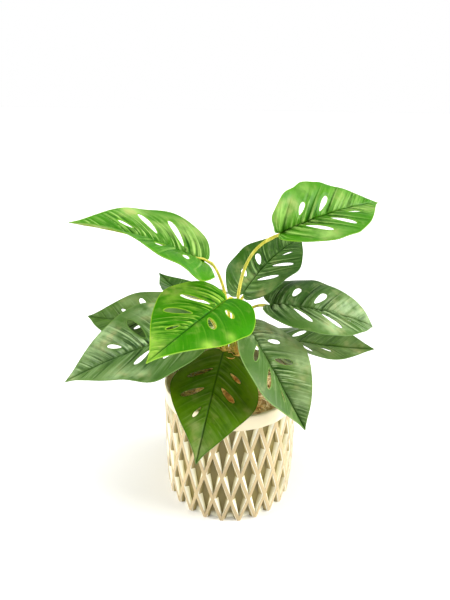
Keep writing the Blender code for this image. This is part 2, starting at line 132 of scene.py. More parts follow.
# The leaves, as in the part's source: the base in mm, the pose's angles in degrees, the length in
# mm, pairs for the left and right half, the wave's size in mm, count and phase, the stalk's ring
# and its slot in degrees, how far its bow's handles reach, and -1 where it runs under the blade
Leaf = namedtuple("Leaf", "name base heading rise droop sway roll twist fold opening arch "
                          "length width lobes wave ring slot reach side finish")
LEAVES = [
    Leaf("upper_left", (-24, -1, 220), 197, 31, 14, 19, -15, 8, (25, 19), (14, -17),
         (27, 20), 110, (1.04, 1.05), 55, (1.6, 2.3, 200), INNER_RING, 100, (0.50, 0.10), 1, "bright"),
    Leaf("upper_right", (37, 3, 244), 20, 20, 33, -1, 52, -18, (38, 41), (-58, -38),
         (62, 25), 109, (0.72, 0.87), 118, (1.2, 3.0, 20), INNER_RING, 300, (0.62, 0.28), -1, "bright"),
    Leaf("centre", (-5, -17, 194), 242, -2, 10, -5, -11, 9, (19, 17), (-3, -19),
         (64, 19), 99, (0.91, 1.00), 20, (1.2, 2.2, 120), 0, 0, (0.60, 0.25), -1, "lush"),
    Leaf("front", (-7, -17, 146), 259, -21, 12, 2, -10, 1, (-4, -2), (52, 52),
         (22, 13), 98, (1.00, 0.92), 20, (1.0, 2.0, 0), INNER_RING, 225, (0.80, 0.40), -1, "deep"),
    Leaf("front_right", (13, -18, 170), 310, -36, 27, 20, -15, 25, (20, 39), (34, 11),
         (22, 40), 96, (1.06, 1.01), 20, (1.2, 2.4, 60), OUTER_RING, 340, (0.70, 0.40), -1, "painted_sheen_green"),
    Leaf("right", (32, 5, 181), 349, 3, 59, 12, 37, 2, (16, 46), (20, -4),
         (70, 36), 108, (0.85, 0.87), 30, (1.2, 2.6, 90), INNER_RING, 20, (0.60, 0.35), -1, "olive"),
    Leaf("back_right", (9, 11, 188), 40, 47, 46, 4, 6, 4, (2, 8), (30, -24),
         (-2, 3), 89, (0.96, 0.95), 20, (1.6, 2.2, 150), OUTER_RING, 85, (0.50, 0.30), -1, "dusky"),
    Leaf("left", (-27, -25, 168), 178, -16, 11, 16, 3, -6, (-6, 15), (13, 36),
         (3, -9), 119, (0.99, 1.20), 20, (1.8, 2.2, 30), OUTER_RING, 215, (0.60, 0.35), -1, "olive"),
    Leaf("left_back", (-38, 25, 162), 186, -10, 1, -31, -8, -20, (22, 21), (7, 24),
         (23, 28), 103, (0.98, 0.86), 20, (1.2, 2.2, 250), OUTER_RING, 175, (0.45, 0.35), -1, "shaded"),
    Leaf("back_left", (-26, 58, 164), 122, -25, -42, 10, 6, 1, (26, 16), (2, 5),
         (20, 26), 108, (0.76, 1.00), 20, (1.2, 2.2, 80), INNER_RING, 155, (0.60, 0.30), -1, "dusky"),
    Leaf("right_low", (17, 43, 136), 347, -8, -10, 9, -12, 26, (12, 19), (26, -27),
         (35, 2), 118, (1.03, 1.02), 20, (1.2, 2.2, 310), OUTER_RING, 30, (0.70, 0.35), -1, "shaded"),
    Leaf("behind", (-6, 34, 148), 100, -18, 26, 4, 4, 6, (14, 12), (20, 20),
         (26, 24), 98, (0.95, 0.90), 20, (1.4, 2.2, 10), OUTER_RING, 112, (0.60, 0.35), -1, "olive"),
    Leaf("behind_right", (22, 21, 136), 50, -34, 18, 6, 4, -6, (12, 12), (18, 12),
         (24, 28), 94, (1.00, 1.00), 20, (1.4, 2.4, 130), OUTER_RING, 58, (0.60, 0.35), -1, "deep"),
    Leaf("behind_left", (-26, 18, 138), 142, -34, 18, -6, -4, 4, (12, 12), (18, 14),
         (24, 22), 94, (1.00, 1.00), 20, (1.4, 2.1, 220), OUTER_RING, 142, (0.60, 0.35), -1, "deep"),
]

# How deep each leaf is pleated, left and right of its midrib, how strong the small ridges
# between its veins are, how its margin swings in the sheet (size, count and phase), and its
# patches of painted sheen: place along and across the mould, size and strength, negative for patches of
# painted shade
Dress = namedtuple("Dress", "pleats ridges scallop gloss")
DRESS = {
    "upper_left": Dress((0.6, 1.0), (0.3, 1.4), (0.03, 2.2, 40),
                        ((0.55, -0.28, 0.11, 0.8), (0.10, -0.25, 0.14, 0.8), (0.32, -0.20, 0.10, 0.5),
                         (0.35, 0.12, 0.18, -0.5), (0.70, 0.08, 0.16, -0.5))),
    "upper_right": Dress((0.8, 0.8), (0.8, 1.1), (0.03, 5.0, 270),
                         ((0.06, 0.24, 0.13, 0.6), (0.30, 0.33, 0.08, 0.4), (0.22, -0.30, 0.10, 0.7),
                          (0.60, 0.10, 0.12, 0.4), (0.75, -0.08, 0.08, 0.5))),
    "centre": Dress((0.25, 0.9), (0.15, 1.4), (0.02, 2.4, 10),
                    ((0.20, -0.36, 0.10, 1.0), (0.36, -0.33, 0.07, 0.7), (0.62, 0.26, 0.05, 0.9),
                     (0.42, 0.33, 0.04, 0.7), (0.80, -0.12, 0.09, 0.7), (0.93, -0.02, 0.07, 0.8),
                     (0.30, 0.15, 0.22, -0.4), (0.05, 0.25, 0.12, -0.4))),
    "front": Dress((0.5, 0.4), (0.45, 0.35), (0.015, 2.0, 90),
                   ((0.88, 0.0, 0.08, 0.9), (0.72, -0.07, 0.05, 0.7), (0.50, 0.30, 0.05, 0.3),
                    (0.10, -0.30, 0.10, 0.3))),
    "front_right": Dress((0.6, 0.3), (1.5, 0.4), (0.02, 2.6, 140),
                         ((0.10, 0.26, 0.18, 1.0), (0.50, 0.26, 0.12, 0.7), (0.75, 0.10, 0.12, 0.5),
                          (0.25, -0.20, 0.26, -1.2), (0.62, -0.16, 0.26, -1.2), (0.95, -0.02, 0.1, -0.7))),
    "right": Dress((0.7, 0.9), (0.6, 1.1), (0.03, 5.0, 90),
                   ((0.45, -0.28, 0.11, 0.9), (0.82, 0.06, 0.15, 0.7), (0.58, 0.10, 0.12, 0.5),
                    (0.10, 0.20, 0.20, -1.2), (0.36, 0.28, 0.18, -1.2), (0.08, -0.22, 0.14, -0.9),
                    (0.85, -0.06, 0.08, -0.5))),
    "back_right": Dress((0.5, 0.7), (1.0, 0.8), (0.06, 2.6, 302),
                        ((0.15, 0.10, 0.12, 0.5), (0.10, -0.27, 0.12, 0.6), (0.30, -0.30, 0.08, 0.4))),
    "left": Dress((0.6, 0.8), (0.4, 1.4), (0.02, 2.8, 60),
                  ((0.70, -0.19, 0.13, 1.0), (0.95, 0.02, 0.07, 0.7), (0.42, 0.33, 0.08, 0.9),
                   (0.58, 0.26, 0.10, 0.6), (0.34, -0.33, 0.10, 0.9), (0.62, -0.04, 0.12, -0.6),
                   (0.45, 0.15, 0.08, -0.5))),
    "left_back": Dress((0.5, 0.5), (0.3, 0.3), (0.02, 2.4, 0),
                       ((0.60, -0.20, 0.12, 0.5), (0.30, -0.28, 0.12, 0.5))),
    "back_left": Dress((0.5, 0.5), (0.3, 0.3), (0.02, 2.4, 180), ((0.50, -0.20, 0.10, 0.3),)),
    "right_low": Dress((0.6, 0.5), (0.4, 0.3), (0.02, 2.4, 90),
                       ((0.85, -0.06, 0.10, 0.8), (0.5, -0.2, 0.15, 0.5), (0.4, 0.15, 0.25, -0.9))),
    "behind": Dress((0.8, 0.8), (0.8, 0.6), (0.03, 2.8, 30),
                    ((0.55, 0.25, 0.10, 0.7), (0.85, -0.05, 0.09, 0.6), (0.30, -0.20, 0.15, -0.4))),
    "behind_right": Dress((0.8, 0.8), (0.6, 0.8), (0.03, 3.0, 210),
                          ((0.35, 0.30, 0.10, 0.6), (0.80, 0.05, 0.09, 0.6))),
    "behind_left": Dress((0.8, 0.7), (0.7, 0.5), (0.03, 2.6, 300),
                         ((0.40, -0.28, 0.10, 0.6), (0.85, 0.04, 0.08, 0.5))),
}

# Greens of a leaf: between the veins, at the veins and in painted shade, the pale of painted highlights and
# sheen, the margin band, the thin edge, the underside; then the roughness and the shine. The finishes are
# lit and shaded
# copies of one green, in painted light: the brighter ones as lit, the grey-green ones paled by painted
# sheen, the darker ones darkened by painted shade
Finish = namedtuple("Finish", "body vein pale band edge under rough shine")
FINISHES = {
    "bright": Finish((0.050, 0.215, 0.002), (0.010, 0.080, 0.001), (0.34, 0.56, 0.13),
                     (0.040, 0.195, 0.001), (0.20, 0.40, 0.02), (0.26, 0.36, 0.01), 0.38, 0.07),
    "lush": Finish((0.032, 0.190, 0.001), (0.008, 0.085, 0.001), (0.30, 0.52, 0.06),
                   (0.032, 0.190, 0.001), (0.30, 0.50, 0.03), (0.26, 0.36, 0.01), 0.38, 0.04),
    "deep": Finish((0.052, 0.135, 0.001), (0.008, 0.040, 0.001), (0.20, 0.27, 0.08),
                   (0.088, 0.168, 0.001), (0.03, 0.08, 0.002), (0.10, 0.16, 0.01), 0.36, 0.06),
    "painted_sheen_green": Finish((0.085, 0.170, 0.026), (0.018, 0.070, 0.007), (0.42, 0.56, 0.27),
                      (0.100, 0.185, 0.030), (0.16, 0.28, 0.06), (0.16, 0.22, 0.03), 0.38, 0.12),
    "olive": Finish((0.092, 0.180, 0.036), (0.010, 0.052, 0.004), (0.38, 0.54, 0.25),
                    (0.050, 0.130, 0.014), (0.12, 0.23, 0.04), (0.14, 0.20, 0.01), 0.38, 0.12),
    "shaded": Finish((0.075, 0.150, 0.018), (0.009, 0.042, 0.003), (0.27, 0.39, 0.15),
                     (0.055, 0.132, 0.012), (0.08, 0.17, 0.02), (0.13, 0.19, 0.01), 0.38, 0.12),
    "dusky": Finish((0.030, 0.090, 0.006), (0.005, 0.030, 0.001), (0.21, 0.34, 0.11),
                    (0.025, 0.088, 0.004), (0.04, 0.12, 0.01), (0.12, 0.18, 0.01), 0.38, 0.08),
}
SLOT_OF = {"bright": "blade_bright", "lush": "blade_bright", "deep": "blade_deep",
           "painted_sheen_green": "blade_grey_green", "olive": "blade_grey_green", "shaded": "blade_deep",
           "dusky": "blade_deep"}

# Pot: its outer form as in the part's source, then where its glaze and its edges change
POT_RADIUS = 60 * MM
POT_FOOT_RADIUS = 58.6 * MM
ROW_PITCH = 24.5 * MM
LATTICE_TOP = 4 * ROW_PITCH
INNER_LIP = 54.8 * MM
FOOT_HOLLOW = 0.95 * MM
LIP_SOFTNESS = 0.3 * MM
ARRIS_WIDTH = 1.0 * MM
ARRIS_SEGMENTS = 4

# Fibre mound, a little inside the part's own
MOUND_RADIUS = 52.4 * MM
MOUND_FOOT = 74.4 * MM
MOUND_EDGE = 97 * MM
MOUND_TILT = 9 * MM
MOUND_HIGH_SIDE = math.radians(60)
MOUND_CROWN = 134 * MM
MOUND_STEEPNESS = 1.6
MOUND_RINGS = 14
MOUND_SEGMENTS = 60

# Curls on it: the number strewn, a curl's turns, radius and width, and heaps of more curls
# with their centre, spread and number, in mm
CURLS = 520
CURL_SHAPES = ((0.55, 4.6, 0.9), (0.9, 3.0, 0.8), (1.3, 2.3, 0.7), (0.35, 7.5, 0.8))
CURL_HEAPS = (((-7, -12, 143), (6, 3, 4), 34), ((7, -11, 145), (5, 3, 3), 26))
CURL_STEPS = 14
CURL_MARGIN = 3.5 * MM
CURL_LIMIT = 53 * MM
# Height where the crown's own gold and the painted light on it begin, and where they are full
CROWN_START = 134 * MM
CROWN_FULL = 141 * MM
GOLD_PATCH = (6, -31)
# Place and colour of pale straw painted as light on the fibre in the front leaf's shade; the core and reach
# serve both patches
PAINTED_LIGHT_PATCH = (-26, -34)
PATCH_CORE = 12 * MM
PATCH_REACH = 22 * MM
PAINTED_LIGHT_STRAW = (0.98, 0.93, 0.52)

# Camera, with its focal length in the photograph's pixels, and room
CAMERA_PLACE = (0, -0.3702, 0.342)
PAN, PITCH, ROLL = -1.0, 22.8, 0.88
FOCAL_PIXELS = 477
PICTURE_HEIGHT = 600
SENSOR_HEIGHT = 24
FLOOR_SIZE = 30
ROOM_LIGHT = 0.6
WHITE = (1, 1, 1, 1)

MERGE_DISTANCE = 0.01 * MM


# Scene helpers

def make_active(obj):
    for other in bpy.context.selected_objects:
        other.select_set(False)
    obj.select_set(True)
    bpy.context.view_layer.objects.active = obj


def apply_modifier(obj, name, kind, **settings):
    modifier = obj.modifiers.new(name, kind)
    for key, value in settings.items():
        setattr(modifier, key, value)
    make_active(obj)
    bpy.ops.object.modifier_apply(modifier=modifier.name)


def smooth_by_angle(obj, degrees):
    make_active(obj)
    bpy.ops.object.shade_smooth_by_angle(angle=math.radians(degrees))


def edit_all():
    """Open the active mesh for editing, with all of it selected."""
    bpy.ops.object.mode_set(mode="EDIT")
    bpy.ops.mesh.select_all(action="SELECT")


def end_edit():
    bpy.ops.object.mode_set(mode="OBJECT")


def link_mesh(name, mesh):
    obj = bpy.data.objects.new(name, mesh)
    bpy.context.collection.objects.link(obj)
    return obj


def settle(obj, body, slot, *nodes):
    """Fix the piece's place in its mesh, let it ride, and let it stand for its nodes."""
    make_active(obj)
    bpy.ops.object.transform_apply(location=True, rotation=True, scale=True)
    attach(obj, body)
    if nodes:
        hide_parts(*nodes)


# Node helpers

class Recipe:
    """One material, whose colour is laid on in coats, with short calls for its nodes."""

    def __init__(self, name):
        self.material = bpy.data.materials.new(name)
        self.material.use_nodes = True
        self.nodes = self.material.node_tree.nodes
        self.links = self.material.node_tree.links
        self.shader = self.nodes["Principled BSDF"]
        self.colour = None

    def put(self, value, socket):
        if hasattr(value, "is_output"):
            self.links.new(value, socket)
        elif isinstance(value, tuple) and socket.type == "RGBA":
            socket.default_value = (*value, 1)
        else:
            socket.default_value = value

    def maths(self, operation, *values):
        node = self.nodes.new("ShaderNodeMath")
        node.operation = operation
        for value, socket in zip(values, node.inputs):
            self.put(value, socket)
        return node.outputs[0]

    def times(self, *values):
        """The product of two or more values."""
        product = values[0]
        for value in values[1:]:
            product = self.maths("MULTIPLY", product, value)
        return product

    def span(self, one, two):
        """The long side over two short ones at a right angle."""
        return self.maths("SQRT", self.maths("ADD", self.times(one, one), self.times(two, two)))

    def blend(self, share, first, second):
        node = self.nodes.new("ShaderNodeMix")
        node.data_type = "RGBA"
        self.put(share, node.inputs[0])
        self.put(first, node.inputs[6])
        self.put(second, node.inputs[7])
        return node.outputs[2]

    def coat(self, shade, *shares):
        """Cover the colour with a shade, as far as the product of the shares says."""
        self.colour = self.blend(self.times(*shares), self.colour, shade)

    def ramp(self, value, low, high):
        """0 at low, 1 at high, and smooth between them, whichever is the larger."""
        node = self.nodes.new("ShaderNodeMapRange")
        node.interpolation_type = "SMOOTHSTEP"
        self.put(value, node.inputs[0])
        node.inputs[1].default_value = low
        node.inputs[2].default_value = high
        return node.outputs[0]

    def noise(self, scale, detail=3, vector=None, stretch=None):
        node = self.nodes.new("ShaderNodeTexNoise")
        node.inputs["Scale"].default_value = scale
        node.inputs["Detail"].default_value = detail
        if vector is None:
            vector = self.place()
        if stretch:
            mapping = self.nodes.new("ShaderNodeMapping")
            mapping.inputs["Scale"].default_value = stretch
            self.links.new(vector, mapping.inputs["Vector"])
            vector = mapping.outputs[0]
        self.links.new(vector, node.inputs["Vector"])
        return node.outputs[0]

    def place(self):
        return self.nodes.new("ShaderNodeTexCoord").outputs["Object"]

    def uv(self, name):
        node = self.nodes.new("ShaderNodeUVMap")
        node.uv_map = name
        return node.outputs[0]

    def parts(self, vector):
        node = self.nodes.new("ShaderNodeSeparateXYZ")
        self.links.new(vector, node.inputs[0])
        return node.outputs

    def attribute(self, name):
        node = self.nodes.new("ShaderNodeAttribute")
        node.attribute_name = name
        return node.outputs["Fac"]

    def facing(self):
        node = self.nodes.new("ShaderNodeNewGeometry")
        return self.parts(node.outputs["Normal"])

    def bump(self, height, strength, distance):
        node = self.nodes.new("ShaderNodeBump")
        node.inputs["Strength"].default_value = strength
        node.inputs["Distance"].default_value = distance
        self.links.new(height, node.inputs["Height"])
        self.links.new(node.outputs[0], self.shader.inputs["Normal"])

    def finish(self, rough, **sockets):
        self.put(self.colour, self.shader.inputs["Base Color"])
        self.put(rough, self.shader.inputs["Roughness"])
        for name, value in sockets.items():
            self.put(value, self.shader.inputs[name.replace("_", " ")])
        return self.material


# Finishes

def coat_swells(recipe, finish, from_crest, swell, streaks):
    """Painted shade, darker towards each vein, and painted highlights streaked pale on the crest between two
    veins.
    """
    recipe.coat(finish.vein, recipe.ramp(from_crest, 0.45, 1), swell, 0.35)
    crest = recipe.ramp(from_crest, 0.85, 0.20)
    recipe.coat(finish.pale, crest, swell, recipe.ramp(streaks, 0.40, 0.66), 0.5)


def coat_ridges(recipe, finish, line, small, streaks):
    """The small ridges between two veins: painted shade in the furrows and painted highlights streaked pale
    on the crests.
    """
    ridge = recipe.maths("SINE", recipe.times(line, math.tau * RIDGES_PER_PLEAT))
    recipe.coat(finish.vein, recipe.ramp(ridge, -0.55, -0.90), small, 0.6)
    recipe.coat(finish.pale, recipe.ramp(ridge, 0.62, 0.92), small, recipe.ramp(streaks, 0.40, 0.54), 0.9)


def coat_veins(recipe, finish, share, from_crest, swell, streaks):
    """A thin dark line in each valley, with a painted highlight as a pale shoulder beside it."""
    shoulder = recipe.times(recipe.ramp(share, 0.02, 0.045), recipe.ramp(share, 0.12, 0.06))
    recipe.coat(finish.pale, shoulder, swell, recipe.ramp(streaks, 0.38, 0.52), 0.75)
    recipe.coat(finish.vein, recipe.ramp(from_crest, 0.93, 0.985), swell, 0.9)


def coat_painted_sheen_and_shade(recipe, finish, warm, mottle):
    """Painted sheen, cloudy and pale, on the sheen patches, and painted shade in the veins' dark green on
    the shaded patches.
    """
    glint = recipe.blend(recipe.ramp(mottle, 0.45, 0.70), finish.pale, warm)
    recipe.coat(glint, recipe.attribute("gloss"), recipe.ramp(recipe.noise(70), 0.25, 0.60))
    recipe.coat(finish.vein, recipe.attribute("shade"), 0.6)


def coat_hair_lines(recipe, finish, fine, creased):
    """Fine lines along the veins, dark and pale, the pale ones painted highlights on fine crinkles."""
    recipe.coat(finish.vein, recipe.ramp(fine, 0.46, 0.38), creased, 0.75)
    recipe.coat(finish.pale, recipe.ramp(fine, 0.55, 0.63), creased, 0.55)


def coat_mottle(recipe, finish, warm, mottle):
    recipe.coat(finish.vein, recipe.ramp(mottle, 0.46, 0.34), 0.25)
    recipe.coat(warm, recipe.ramp(mottle, 0.56, 0.72), 0.15)


def coat_midrib_and_rim(recipe, finish, reach, patches):
    """The dark midrib with its broken pale thread, and the thin rim of each cut edge."""
    recipe.coat(finish.vein, recipe.ramp(reach, 0.030, 0.010), 0.6)
    recipe.coat(finish.edge, recipe.ramp(reach, 0.016, 0.006), recipe.ramp(patches, 0.48, 0.60), 0.6)
    recipe.coat(finish.edge, recipe.ramp(recipe.attribute("margin"), 0.008, 0.003), 0.7)


def blade_top(name, finish):
    """Pleated green: thin dark veins, painted shade and pale painted highlights on the swells and small
    ridges between them, painted sheen and shade in patches, an even margin band.
    """
    recipe = Recipe("blade_" + name)
    line, across, _ = recipe.parts(recipe.uv("veins"))
    reach = recipe.maths("ABSOLUTE", across)
    share = recipe.maths("FRACT", line)
    from_crest = recipe.times(recipe.maths("ABSOLUTE", recipe.maths("SUBTRACT", share, 0.5)), 2)
    swell, small = recipe.attribute("pleats"), recipe.attribute("ridges")
    creased = recipe.maths("MAXIMUM", small, recipe.times(swell, 0.45))
    patches, mottle = recipe.noise(24), recipe.noise(95, 4)
    streaks = recipe.noise(1, vector=recipe.uv("veins"), stretch=(5, 2.2, 1))
    fine = recipe.noise(1, vector=recipe.uv("veins"), stretch=(11, 1.9, 1))
    # warm tints the painted sheen, and is also laid at random in the mottle
    warm = tuple(0.55 * part + more for part, more in zip(finish.pale, (0.24, 0.18, 0.08)))
    recipe.colour = recipe.blend(recipe.ramp(patches, 0.35, 0.65), finish.body, finish.band)
    recipe.coat(finish.band, recipe.ramp(reach, 0.5, 0.85), 0.8)
    coat_swells(recipe, finish, from_crest, swell, streaks)
    coat_ridges(recipe, finish, line, small, streaks)
    coat_veins(recipe, finish, share, from_crest, swell, streaks)
    coat_painted_sheen_and_shade(recipe, finish, warm, mottle)
    coat_hair_lines(recipe, finish, fine, creased)
    coat_mottle(recipe, finish, warm, mottle)
    coat_midrib_and_rim(recipe, finish, reach, patches)
    grain = recipe.times(recipe.noise(380, 2), 0.2)
    recipe.bump(recipe.maths("ADD", recipe.times(fine, creased), grain), 0.6, 0.0015)
    rough = recipe.maths("MULTIPLY_ADD", streaks, 0.2, finish.rough - 0.08)
    return recipe.finish(rough, Specular_IOR_Level=finish.shine)


def blade_underside(name, finish):
    """Paler and plainer, with raised ribs where the top has its veins."""
    recipe = Recipe("underside_" + name)
    line = recipe.parts(recipe.uv("veins"))[0]
    from_crest = recipe.maths("ABSOLUTE", recipe.maths("SUBTRACT", recipe.maths("FRACT", line), 0.5))
    rib = recipe.ramp(from_crest, 0.40, 0.5)
    pale = tuple(min(1, 1.35 * part + 0.02) for part in finish.under)
    recipe.colour = recipe.blend(rib, finish.under, pale)
    recipe.coat(finish.body, recipe.noise(60), 0.35)
    recipe.bump(rib, 0.4, 0.0005)
    return recipe.finish(0.5)


def blade_edge(name, finish):
    recipe = Recipe("edge_" + name)
    recipe.colour = recipe.blend(recipe.noise(90), finish.edge, finish.band)
    return recipe.finish(0.45)


def stalk_skin():
    """Yellow-green skin with brown ticks and lengthwise streaks."""
    recipe = Recipe("stalk_skin")
    streaks = recipe.noise(260, stretch=(1, 1, 0.12))
    ticks = recipe.noise(420, 2, stretch=(0.6, 0.6, 1.6))
    recipe.colour = recipe.blend(recipe.ramp(streaks, 0.35, 0.7), (0.46, 0.43, 0.02), (0.74, 0.66, 0.10))
    recipe.coat((0.30, 0.24, 0.04), recipe.ramp(ticks, 0.64, 0.72))
    recipe.bump(streaks, 0.3, 0.0003)
    return recipe.finish(0.4)


def coat_fibre_patch(recipe, centre, shade):
    """The fibre in another shade round one place."""
    x, y, _ = recipe.parts(recipe.place())
    distance = recipe.span(recipe.maths("SUBTRACT", x, centre[0] * MM),
                           recipe.maths("SUBTRACT", y, centre[1] * MM))
    recipe.coat(shade, recipe.ramp(distance, PATCH_REACH, PATCH_CORE), 0.85)


def curl_fibre():
    """Dry fibre, from pale straw to red-brown, golden at the crown with painted light on it there, and a
    pale straw patch of painted light at the front left.
    """
    recipe = Recipe("curl_fibre")
    tone = recipe.ramp(recipe.noise(190, 2), 0.35, 0.62)
    height = recipe.parts(recipe.place())[2]
    recipe.colour = recipe.blend(tone, (0.62, 0.34, 0.07), (0.92, 0.72, 0.30))
    recipe.coat((0.95, 0.86, 0.58), recipe.ramp(recipe.noise(75, 1), 0.55, 0.68))
    # The crown: the fibre's own gold, lightened as painted light on its top
    recipe.coat((1.0, 0.66, 0.14), recipe.ramp(height, CROWN_START, CROWN_FULL), 0.6)
    coat_fibre_patch(recipe, GOLD_PATCH, recipe.blend(tone, (0.72, 0.30, 0.03), (1.0, 0.62, 0.14)))
    # Painted light: pale straw on the fibre in the front leaf's shade
    coat_fibre_patch(recipe, PAINTED_LIGHT_PATCH, PAINTED_LIGHT_STRAW)
    recipe.bump(recipe.noise(1500, 2), 0.5, 0.0004)
    return recipe.finish(0.8)


def mound_fibre():
    """The matted fibre under the curls, darker than they are."""
    recipe = Recipe("mound_fibre")
    mat = recipe.noise(320, 6, stretch=(1, 1, 2))
    tone = recipe.ramp(mat, 0.38, 0.62)
    recipe.colour = recipe.blend(tone, (0.42, 0.26, 0.09), (0.80, 0.62, 0.32))
    coat_fibre_patch(recipe, GOLD_PATCH, recipe.blend(tone, (0.62, 0.27, 0.03), (0.95, 0.55, 0.12)))
    # Painted light: pale straw on the fibre in the front leaf's shade
    coat_fibre_patch(recipe, PAINTED_LIGHT_PATCH, PAINTED_LIGHT_STRAW)
    recipe.bump(mat, 1, 0.003)
    return recipe.finish(0.9)


def depth_in_pot(recipe, radius, z):
    """How far a point lies behind the pot's outer face, which draws in along the lowest row."""
    below = recipe.maths("MAXIMUM", recipe.maths("SUBTRACT", 1, recipe.maths("DIVIDE", z, ROW_PITCH)), 0)
    face = recipe.maths("MULTIPLY_ADD", recipe.times(below, below), POT_FOOT_RADIUS - POT_RADIUS, POT_RADIUS)
    hollow = recipe.times(below, recipe.maths("SUBTRACT", 1, below))
    face = recipe.maths("MULTIPLY_ADD", hollow, -FOOT_HOLLOW, face)
    return recipe.maths("SUBTRACT", face, radius)


def pot_glaze():
    """Cream-white glaze, rosy on the ridges; in the pits, painted shade, darker with depth and dark tan on
    the floors and overhangs where the glaze also pools, and painted light, cream on the faces that look up.
    """
    recipe = Recipe("pot_glaze")
    x, y, z = recipe.parts(recipe.place())
    radius = recipe.span(x, y)
    depth = depth_in_pot(recipe, radius, z)
    deep = recipe.ramp(depth, 1.0 * MM, 3.6 * MM)
    # How far a face looks up: the pits' faces that look up are painted light, the rest painted shade
    upward = recipe.ramp(recipe.facing()[2], 0.03, 0.17)
    cloud = recipe.noise(38)
    # Painted shade deepening into the pits, where the glaze also pools
    cream = recipe.blend(deep, (0.95, 0.93, 0.78), (0.80, 0.74, 0.46))
    tan = recipe.blend(cloud, (0.12, 0.092, 0.015), (0.20, 0.155, 0.035))
    pooled_and_shaded = recipe.blend(deep, (0.42, 0.33, 0.13), tan)
    band = recipe.blend(cloud, (0.66, 0.56, 0.37), (0.82, 0.74, 0.54))
    recipe.colour = recipe.blend(cloud, (0.40, 0.305, 0.155), (0.52, 0.41, 0.23))
    recipe.coat((0.94, 0.91, 0.76), recipe.ramp(depth, 0.12 * MM, 0.50 * MM))
    recipe.coat(recipe.blend(upward, pooled_and_shaded, cream), recipe.ramp(depth, 0.7 * MM, 1.4 * MM))
    recipe.coat(band, recipe.ramp(z, LATTICE_TOP - LIP_SOFTNESS, LATTICE_TOP + LIP_SOFTNESS))
    recipe.coat((0.90, 0.89, 0.72), recipe.ramp(radius, INNER_LIP + LIP_SOFTNESS, INNER_LIP - LIP_SOFTNESS))
    recipe.bump(recipe.noise(55, 2), 0.12, 0.001)
    return recipe.finish(0.34, Specular_IOR_Level=0.3, Coat_Weight=0.12, Coat_Roughness=0.15)


def plug_foam():
    recipe = Recipe("plug_foam")
    grain = recipe.noise(500, 4)
    recipe.colour = recipe.blend(grain, (0.05, 0.045, 0.035), (0.16, 0.14, 0.11))
    recipe.bump(grain, 0.5, 0.001)
    return recipe.finish(0.95)


def floor_paper():
    recipe = Recipe("floor_paper")
    recipe.colour = recipe.blend(recipe.noise(8), (0.95, 0.95, 0.94), (0.98, 0.98, 0.97))
    return recipe.finish(0.9)


# Blades

def smooth_curve(points, steps):
    """A curve that passes smoothly through the points, with even steps between each two."""
    points = [Vector(point) for point in points]
    points = [2 * points[0] - points[1]] + points + [2 * points[-1] - points[-2]]
    curve = []
    for before, start, end, after in zip(points, points[1:], points[2:], points[3:]):
        for step in range(steps):
            t = step / steps
            curve.append(0.5 * (2 * start + (end - before) * t
                                + (2 * before - 5 * start + 4 * end - after) * t ** 2
                                + (3 * start - before - 3 * end + after) * t ** 3))
    return curve + [points[-2]]


def blade_outline(steps):
    left = smooth_curve(LEFT_MARGIN, steps)
    right = smooth_curve(RIGHT_MARGIN, steps)
    return left[:-1] + [Vector((u, -v)) for u, v in reversed(right)][:-1]


def window_outline(inner, outer, width, count):
    """A drop with its blunt end towards the margin."""
    inner, outer = Vector(inner), Vector(outer)
    axis = outer - inner
    side = Vector((-axis.y, axis.x)).normalized()
    points = []
    for index in range(count):
        turn = math.tau * (index + 0.5) / count
        along = 0.5 - 0.5 * math.cos(turn)
        across = 0.5 * width * math.sin(turn) * (0.7 + 0.6 * along)
        points.append(inner + axis * along + side * across)
    return points


def inside_loop(x, y, loop):
    inside = False
    x1, y1 = loop[-1]
    for x2, y2 in loop:
        if (y1 > y) != (y2 > y) and x < x1 + (y - y1) / (y2 - y1) * (x2 - x1):
            inside = not inside
        x1, y1 = x2, y2
    return inside


def distance_to_loop(x, y, loop):
    nearest = math.inf
    x1, y1 = loop[-1]
    for x2, y2 in loop:
        dx, dy = x2 - x1, y2 - y1
        along = max(0.0, min(1.0, ((x - x1) * dx + (y - y1) * dy) / (dx * dx + dy * dy)))
        nearest = min(nearest, math.hypot(x - x1 - along * dx, y - y1 - along * dy))
        x1, y1 = x2, y2
    return nearest


